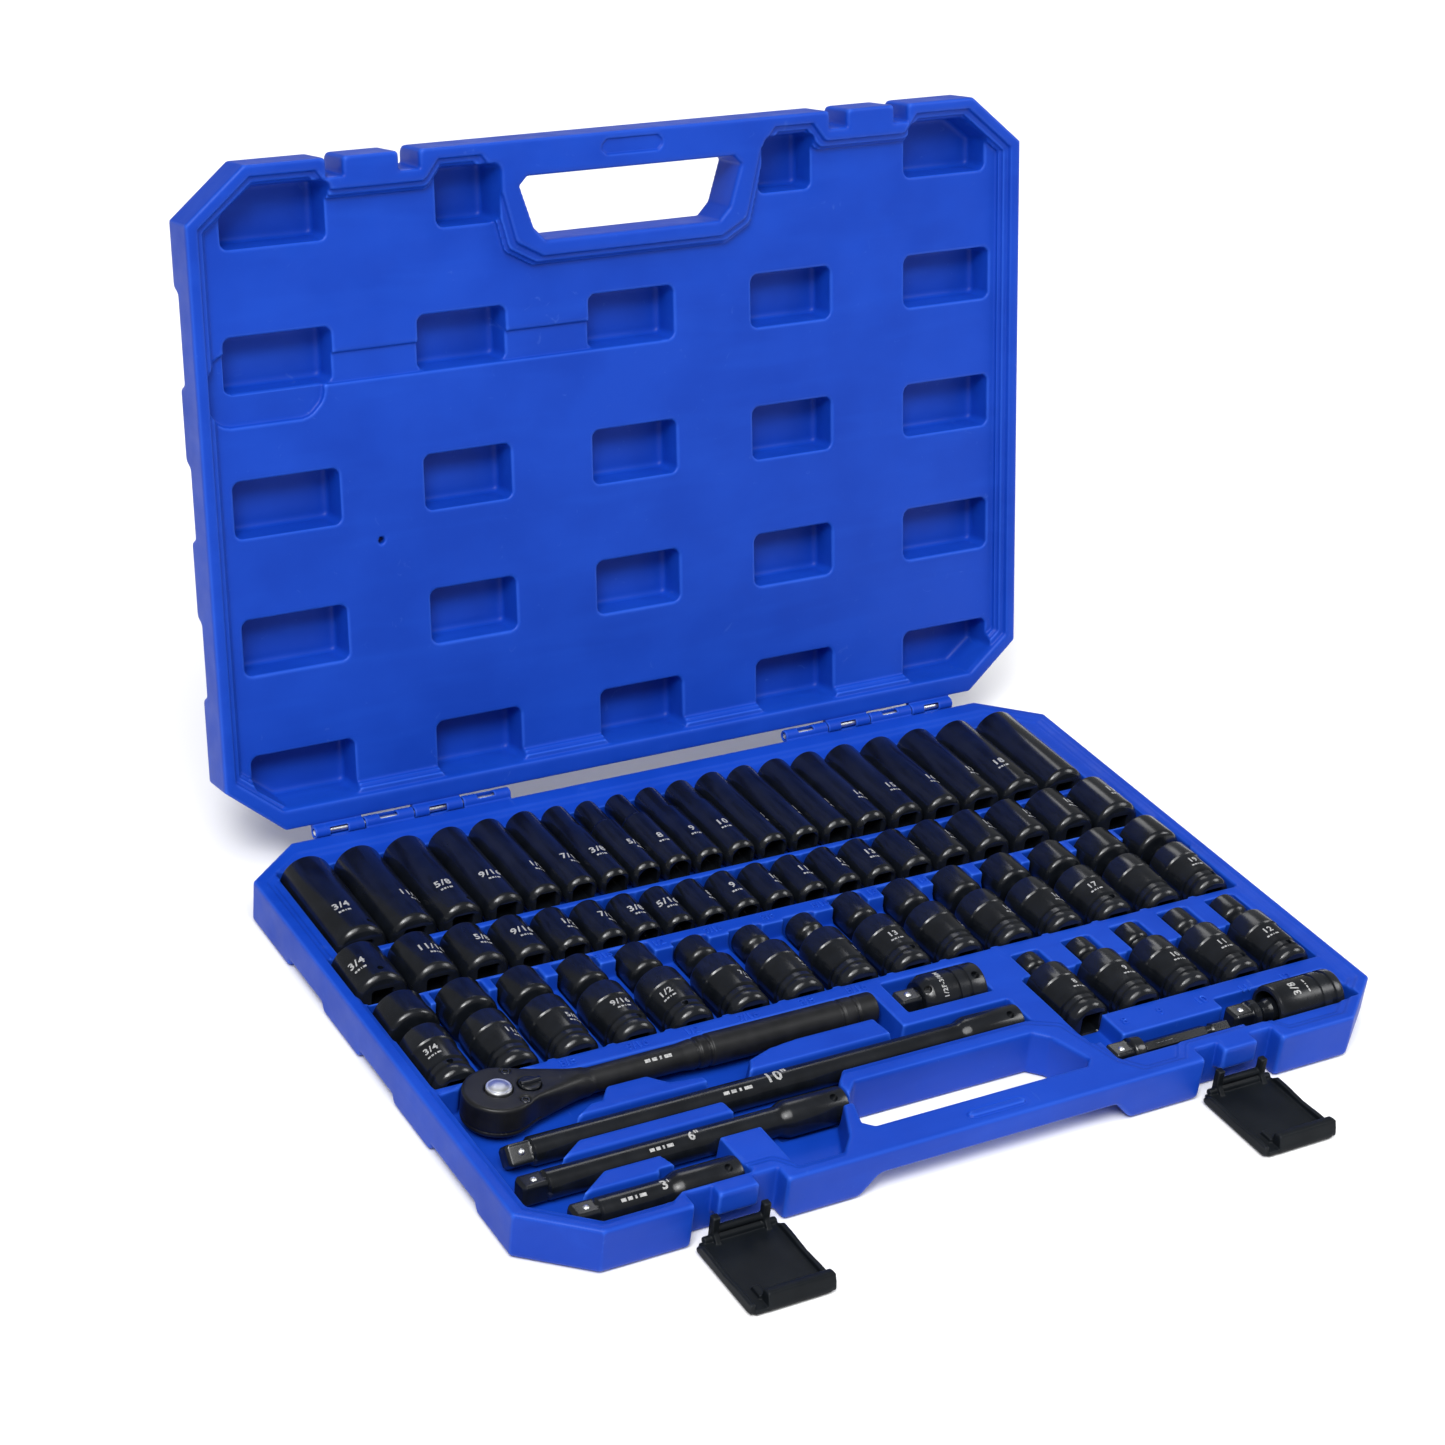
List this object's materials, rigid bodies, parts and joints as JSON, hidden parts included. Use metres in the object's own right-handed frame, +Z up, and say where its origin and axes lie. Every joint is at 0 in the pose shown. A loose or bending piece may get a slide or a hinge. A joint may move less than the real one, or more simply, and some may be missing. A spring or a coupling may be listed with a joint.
{
  "type": "socket wrench set in case",
  "caption": "Hinged blow-moulded case with two front latches, holding rows of deep, shallow and swivel impact sockets, a ratchet, extension bars and drive adapters.",
  "frame": {"origin": "middle of the base's flat underside", "axes": "+Z up, +Y towards the hinge, +X to the right as seen from the latches; the lid stands open at rest"},
  "size_m": [0.44, 0.4468, 0.3223],
  "materials": {
    "blue_plastic": "satin blow-moulded polyethylene with a fine grain",
    "black_plastic": "matt moulded black plastic",
    "black_steel": "black oxide steel, oiled satin sheen",
    "ratchet_steel": "black phosphated steel, slightly matt",
    "bright_steel": "bright nickelled steel"
  },
  "bodies": {
    "case_base": {"case_base": "blue_plastic", "hinge_pin_left": "bright_steel", "hinge_pin_right": "bright_steel"},
    "lid": {"case_lid": "blue_plastic"},
    "latch_left": {"latch_left": "black_plastic"},
    "latch_right": {"latch_right": "black_plastic"},
    "deep_sockets_inch": {"deep_sockets_inch": "black_steel"},
    "deep_sockets_metric": {"deep_sockets_metric": "black_steel"},
    "shallow_sockets": {"shallow_sockets": "black_steel"},
    "swivel_3_4in": {"swivel_3_4in_body": "black_steel"},
    "swivel_3_4in_head": {"swivel_3_4in_head": "black_steel"},
    "swivel_11_16in": {"swivel_11_16in_body": "black_steel"},
    "swivel_11_16in_head": {"swivel_11_16in_head": "black_steel"},
    "swivel_5_8in": {"swivel_5_8in_body": "black_steel"},
    "swivel_5_8in_head": {"swivel_5_8in_head": "black_steel"},
    "swivel_9_16in": {"swivel_9_16in_body": "black_steel"},
    "swivel_9_16in_head": {"swivel_9_16in_head": "black_steel"},
    "swivel_1_2in": {"swivel_1_2in_body": "black_steel"},
    "swivel_1_2in_head": {"swivel_1_2in_head": "black_steel"},
    "swivel_7_16in": {"swivel_7_16in_body": "black_steel"},
    "swivel_7_16in_head": {"swivel_7_16in_head": "black_steel"},
    "swivel_3_8in": {"swivel_3_8in_body": "black_steel"},
    "swivel_3_8in_head": {"swivel_3_8in_head": "black_steel"},
    "swivel_5_16in": {"swivel_5_16in_body": "black_steel"},
    "swivel_5_16in_head": {"swivel_5_16in_head": "black_steel"},
    "swivel_13mm": {"swivel_13mm_body": "black_steel"},
    "swivel_13mm_head": {"swivel_13mm_head": "black_steel"},
    "swivel_14mm": {"swivel_14mm_body": "black_steel"},
    "swivel_14mm_head": {"swivel_14mm_head": "black_steel"},
    "swivel_15mm": {"swivel_15mm_body": "black_steel"},
    "swivel_15mm_head": {"swivel_15mm_head": "black_steel"},
    "swivel_16mm": {"swivel_16mm_body": "black_steel"},
    "swivel_16mm_head": {"swivel_16mm_head": "black_steel"},
    "swivel_17mm": {"swivel_17mm_body": "black_steel"},
    "swivel_17mm_head": {"swivel_17mm_head": "black_steel"},
    "swivel_18mm": {"swivel_18mm_body": "black_steel"},
    "swivel_18mm_head": {"swivel_18mm_head": "black_steel"},
    "swivel_19mm": {"swivel_19mm_body": "black_steel"},
    "swivel_19mm_head": {"swivel_19mm_head": "black_steel"},
    "swivel_8mm": {"swivel_8mm_body": "black_steel"},
    "swivel_8mm_head": {"swivel_8mm_head": "black_steel"},
    "swivel_9mm": {"swivel_9mm_body": "black_steel"},
    "swivel_9mm_head": {"swivel_9mm_head": "black_steel"},
    "swivel_10mm": {"swivel_10mm_body": "black_steel"},
    "swivel_10mm_head": {"swivel_10mm_head": "black_steel"},
    "swivel_11mm": {"swivel_11mm_body": "black_steel"},
    "swivel_11mm_head": {"swivel_11mm_head": "black_steel"},
    "swivel_12mm": {"swivel_12mm_body": "black_steel"},
    "swivel_12mm_head": {"swivel_12mm_head": "black_steel"},
    "ratchet": {"ratchet_body": "ratchet_steel"},
    "ratchet_drive": {"ratchet_drive": "black_steel"},
    "ratchet_button": {"ratchet_release_button": "bright_steel"},
    "ratchet_selector": {"ratchet_selector": "black_steel"},
    "extension_bar_10in": {"extension_bar_10in": "black_steel"},
    "extension_bar_6in": {"extension_bar_6in": "black_steel"},
    "extension_bar_3in": {"extension_bar_3in": "black_steel"},
    "drive_adapter": {"drive_adapter": "black_steel"},
    "hex_shank_adapter": {"hex_shank_adapter": "black_steel"},
    "universal_joint": {"universal_joint_drive_end": "black_steel"},
    "universal_joint_socket": {"universal_joint_socket_end": "black_steel"}
  },
  "joints": [
    {"name": "lid_hinge", "type": "hinge", "parent": "case_base", "child": "lid", "pos_m": [0, 0.156, 0.022], "axis": [-1, 0, 0], "range_deg": [-103.2, 0]},
    {"name": "latch_left_hinge", "type": "hinge", "parent": "case_base", "child": "latch_left", "pos_m": [-0.1285, -0.152, 0.0062], "axis": [1, 0, 0], "range_deg": [-90, 0]},
    {"name": "latch_right_hinge", "type": "hinge", "parent": "case_base", "child": "latch_right", "pos_m": [0.1285, -0.152, 0.0062], "axis": [1, 0, 0], "range_deg": [-90, 0]},
    {"name": "lift_deep_sockets_inch", "type": "slide", "parent": "case_base", "child": "deep_sockets_inch", "axis": [0, 0, 1], "range_m": [0, 0.08]},
    {"name": "lift_deep_sockets_metric", "type": "slide", "parent": "case_base", "child": "deep_sockets_metric", "axis": [0, 0, 1], "range_m": [0, 0.08]},
    {"name": "lift_shallow_sockets", "type": "slide", "parent": "case_base", "child": "shallow_sockets", "axis": [0, 0, 1], "range_m": [0, 0.08]},
    {"name": "lift_swivel_3_4in", "type": "slide", "parent": "case_base", "child": "swivel_3_4in", "axis": [0, 0, 1], "range_m": [0, 0.08]},
    {"name": "tilt_swivel_3_4in", "type": "hinge", "parent": "swivel_3_4in", "child": "swivel_3_4in_head", "pos_m": [-0.1995, -0.007, 0.015], "axis": [1, 0, 0], "range_deg": [0, 15]},
    {"name": "lift_swivel_11_16in", "type": "slide", "parent": "case_base", "child": "swivel_11_16in", "axis": [0, 0, 1], "range_m": [0, 0.08]},
    {"name": "tilt_swivel_11_16in", "type": "hinge", "parent": "swivel_11_16in", "child": "swivel_11_16in_head", "pos_m": [-0.171, -0.007, 0.015], "axis": [1, 0, 0], "range_deg": [0, 15]},
    {"name": "lift_swivel_5_8in", "type": "slide", "parent": "case_base", "child": "swivel_5_8in", "axis": [0, 0, 1], "range_m": [0, 0.08]},
    {"name": "tilt_swivel_5_8in", "type": "hinge", "parent": "swivel_5_8in", "child": "swivel_5_8in_head", "pos_m": [-0.1425, -0.007, 0.015], "axis": [1, 0, 0], "range_deg": [0, 15]},
    {"name": "lift_swivel_9_16in", "type": "slide", "parent": "case_base", "child": "swivel_9_16in", "axis": [0, 0, 1], "range_m": [0, 0.08]},
    {"name": "tilt_swivel_9_16in", "type": "hinge", "parent": "swivel_9_16in", "child": "swivel_9_16in_head", "pos_m": [-0.114, -0.007, 0.015], "axis": [1, 0, 0], "range_deg": [0, 15]},
    {"name": "lift_swivel_1_2in", "type": "slide", "parent": "case_base", "child": "swivel_1_2in", "axis": [0, 0, 1], "range_m": [0, 0.08]},
    {"name": "tilt_swivel_1_2in", "type": "hinge", "parent": "swivel_1_2in", "child": "swivel_1_2in_head", "pos_m": [-0.0855, -0.007, 0.015], "axis": [1, 0, 0], "range_deg": [0, 15]},
    {"name": "lift_swivel_7_16in", "type": "slide", "parent": "case_base", "child": "swivel_7_16in", "axis": [0, 0, 1], "range_m": [0, 0.08]},
    {"name": "tilt_swivel_7_16in", "type": "hinge", "parent": "swivel_7_16in", "child": "swivel_7_16in_head", "pos_m": [-0.057, -0.007, 0.015], "axis": [1, 0, 0], "range_deg": [0, 15]},
    {"name": "lift_swivel_3_8in", "type": "slide", "parent": "case_base", "child": "swivel_3_8in", "axis": [0, 0, 1], "range_m": [0, 0.08]},
    {"name": "tilt_swivel_3_8in", "type": "hinge", "parent": "swivel_3_8in", "child": "swivel_3_8in_head", "pos_m": [-0.0285, -0.007, 0.015], "axis": [1, 0, 0], "range_deg": [0, 15]},
    {"name": "lift_swivel_5_16in", "type": "slide", "parent": "case_base", "child": "swivel_5_16in", "axis": [0, 0, 1], "range_m": [0, 0.08]},
    {"name": "tilt_swivel_5_16in", "type": "hinge", "parent": "swivel_5_16in", "child": "swivel_5_16in_head", "pos_m": [0, -0.007, 0.015], "axis": [1, 0, 0], "range_deg": [0, 15]},
    {"name": "lift_swivel_13mm", "type": "slide", "parent": "case_base", "child": "swivel_13mm", "axis": [0, 0, 1], "range_m": [0, 0.08]},
    {"name": "tilt_swivel_13mm", "type": "hinge", "parent": "swivel_13mm", "child": "swivel_13mm_head", "pos_m": [0.0285, -0.007, 0.015], "axis": [1, 0, 0], "range_deg": [0, 15]},
    {"name": "lift_swivel_14mm", "type": "slide", "parent": "case_base", "child": "swivel_14mm", "axis": [0, 0, 1], "range_m": [0, 0.08]},
    {"name": "tilt_swivel_14mm", "type": "hinge", "parent": "swivel_14mm", "child": "swivel_14mm_head", "pos_m": [0.057, -0.007, 0.015], "axis": [1, 0, 0], "range_deg": [0, 15]},
    {"name": "lift_swivel_15mm", "type": "slide", "parent": "case_base", "child": "swivel_15mm", "axis": [0, 0, 1], "range_m": [0, 0.08]},
    {"name": "tilt_swivel_15mm", "type": "hinge", "parent": "swivel_15mm", "child": "swivel_15mm_head", "pos_m": [0.0855, -0.007, 0.015], "axis": [1, 0, 0], "range_deg": [0, 15]},
    {"name": "lift_swivel_16mm", "type": "slide", "parent": "case_base", "child": "swivel_16mm", "axis": [0, 0, 1], "range_m": [0, 0.08]},
    {"name": "tilt_swivel_16mm", "type": "hinge", "parent": "swivel_16mm", "child": "swivel_16mm_head", "pos_m": [0.114, -0.007, 0.015], "axis": [1, 0, 0], "range_deg": [0, 15]},
    {"name": "lift_swivel_17mm", "type": "slide", "parent": "case_base", "child": "swivel_17mm", "axis": [0, 0, 1], "range_m": [0, 0.08]},
    {"name": "tilt_swivel_17mm", "type": "hinge", "parent": "swivel_17mm", "child": "swivel_17mm_head", "pos_m": [0.1425, -0.007, 0.015], "axis": [1, 0, 0], "range_deg": [0, 15]},
    {"name": "lift_swivel_18mm", "type": "slide", "parent": "case_base", "child": "swivel_18mm", "axis": [0, 0, 1], "range_m": [0, 0.08]},
    {"name": "tilt_swivel_18mm", "type": "hinge", "parent": "swivel_18mm", "child": "swivel_18mm_head", "pos_m": [0.171, -0.007, 0.015], "axis": [1, 0, 0], "range_deg": [0, 15]},
    {"name": "lift_swivel_19mm", "type": "slide", "parent": "case_base", "child": "swivel_19mm", "axis": [0, 0, 1], "range_m": [0, 0.08]},
    {"name": "tilt_swivel_19mm", "type": "hinge", "parent": "swivel_19mm", "child": "swivel_19mm_head", "pos_m": [0.1995, -0.007, 0.015], "axis": [1, 0, 0], "range_deg": [0, 15]},
    {"name": "lift_swivel_8mm", "type": "slide", "parent": "case_base", "child": "swivel_8mm", "axis": [0, 0, 1], "range_m": [0, 0.08]},
    {"name": "tilt_swivel_8mm", "type": "hinge", "parent": "swivel_8mm", "child": "swivel_8mm_head", "pos_m": [0.0815, -0.07, 0.015], "axis": [1, 0, 0], "range_deg": [0, 15]},
    {"name": "lift_swivel_9mm", "type": "slide", "parent": "case_base", "child": "swivel_9mm", "axis": [0, 0, 1], "range_m": [0, 0.08]},
    {"name": "tilt_swivel_9mm", "type": "hinge", "parent": "swivel_9mm", "child": "swivel_9mm_head", "pos_m": [0.1105, -0.07, 0.015], "axis": [1, 0, 0], "range_deg": [0, 15]},
    {"name": "lift_swivel_10mm", "type": "slide", "parent": "case_base", "child": "swivel_10mm", "axis": [0, 0, 1], "range_m": [0, 0.08]},
    {"name": "tilt_swivel_10mm", "type": "hinge", "parent": "swivel_10mm", "child": "swivel_10mm_head", "pos_m": [0.1395, -0.07, 0.015], "axis": [1, 0, 0], "range_deg": [0, 15]},
    {"name": "lift_swivel_11mm", "type": "slide", "parent": "case_base", "child": "swivel_11mm", "axis": [0, 0, 1], "range_m": [0, 0.08]},
    {"name": "tilt_swivel_11mm", "type": "hinge", "parent": "swivel_11mm", "child": "swivel_11mm_head", "pos_m": [0.1685, -0.07, 0.015], "axis": [1, 0, 0], "range_deg": [0, 15]},
    {"name": "lift_swivel_12mm", "type": "slide", "parent": "case_base", "child": "swivel_12mm", "axis": [0, 0, 1], "range_m": [0, 0.08]},
    {"name": "tilt_swivel_12mm", "type": "hinge", "parent": "swivel_12mm", "child": "swivel_12mm_head", "pos_m": [0.1975, -0.07, 0.015], "axis": [1, 0, 0], "range_deg": [0, 15]},
    {"name": "lift_ratchet", "type": "slide", "parent": "case_base", "child": "ratchet", "axis": [0, 0, 1], "range_m": [0, 0.08]},
    {"name": "ratchet_drive_turn", "type": "hinge", "parent": "ratchet", "child": "ratchet_drive", "pos_m": [-0.19, -0.0572, 0.01], "axis": [0, 0, 1], "continuous": true},
    {"name": "ratchet_button_press", "type": "slide", "parent": "ratchet", "child": "ratchet_button", "axis": [0, 0, -1], "range_m": [0, 0.0014], "stiffness_N_per_m": 600, "springref_m": -0.002},
    {"name": "ratchet_selector_turn", "type": "hinge", "parent": "ratchet", "child": "ratchet_selector", "pos_m": [-0.1765, -0.0587, 0.0245], "axis": [0, 0, 1], "range_deg": [0, 60]},
    {"name": "lift_extension_bar_10in", "type": "slide", "parent": "case_base", "child": "extension_bar_10in", "axis": [0, 0, 1], "range_m": [0, 0.08]},
    {"name": "lift_extension_bar_6in", "type": "slide", "parent": "case_base", "child": "extension_bar_6in", "axis": [0, 0, 1], "range_m": [0, 0.08]},
    {"name": "lift_extension_bar_3in", "type": "slide", "parent": "case_base", "child": "extension_bar_3in", "axis": [0, 0, 1], "range_m": [0, 0.08]},
    {"name": "lift_drive_adapter", "type": "slide", "parent": "case_base", "child": "drive_adapter", "axis": [0, 0, 1], "range_m": [0, 0.08]},
    {"name": "lift_hex_shank_adapter", "type": "slide", "parent": "case_base", "child": "hex_shank_adapter", "axis": [0, 0, 1], "range_m": [0, 0.08]},
    {"name": "lift_universal_joint", "type": "slide", "parent": "case_base", "child": "universal_joint", "axis": [0, 0, 1], "range_m": [0, 0.08]},
    {"name": "universal_joint_bend", "type": "hinge", "parent": "universal_joint", "child": "universal_joint_socket", "pos_m": [0.165, -0.126, 0.0155], "axis": [0, -1, 0], "range_deg": [0, 30]}
  ]
}
